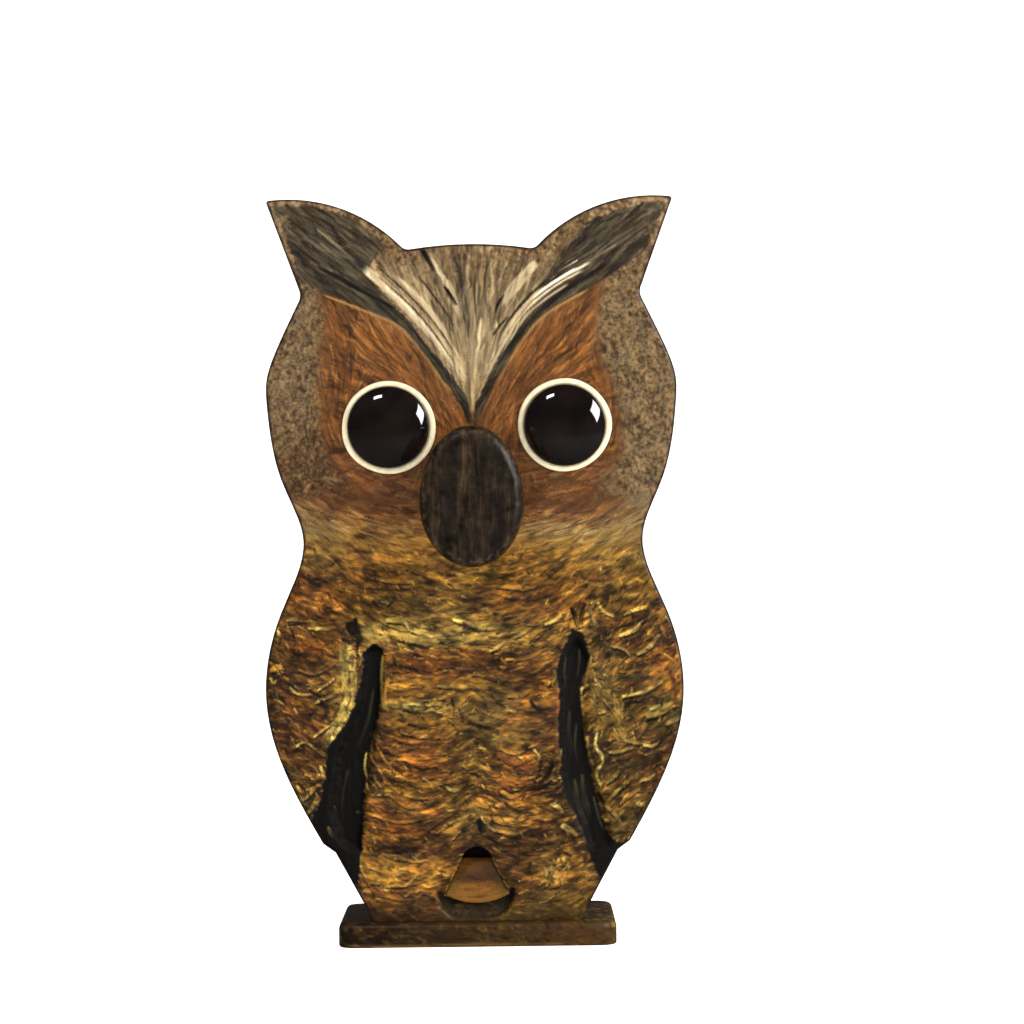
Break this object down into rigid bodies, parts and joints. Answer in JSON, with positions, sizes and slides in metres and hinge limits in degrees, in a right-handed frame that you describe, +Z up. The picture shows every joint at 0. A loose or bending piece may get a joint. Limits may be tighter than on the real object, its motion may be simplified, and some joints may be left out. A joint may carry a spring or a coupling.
{
  "type": "eyeglasses display stand",
  "caption": "Owl-shaped wooden stand that holds a pair of eyeglasses by the bridge on a peg behind a raised oval beak, on a small flat base.",
  "frame": {"origin": "on the underside of the base plate, below the middle of the board's thickness, which is also the centre of the bounding box's bottom", "axes": "+Z up, -Y the way the owl faces, +X to the viewer's right"},
  "size_m": [0.085, 0.048, 0.1521],
  "materials": {
    "painted_board": "hand painted in thick strokes, varnished",
    "painted_base": "hand painted dark brown, worn at the edges, varnished",
    "dark_beak": "stained almost black, sanded, satin",
    "bare_peg": "dowel, stained brown",
    "cream_disc": "painted cream, satin",
    "painted_tail": "painted orange-brown, varnished",
    "black_eye": "polished black",
    "screw_steel": "zinc plated"
  },
  "bodies": {
    "root": {"owl_board": "painted_board", "base_plate": "painted_base", "beak": "dark_beak", "beak_peg": "bare_peg", "left_eye_disc": "cream_disc", "right_eye_disc": "cream_disc", "left_eye": "black_eye", "right_eye": "black_eye", "tail": "painted_tail", "base_screw_left": "screw_steel", "base_screw_right": "screw_steel"}
  },
  "joints": []
}
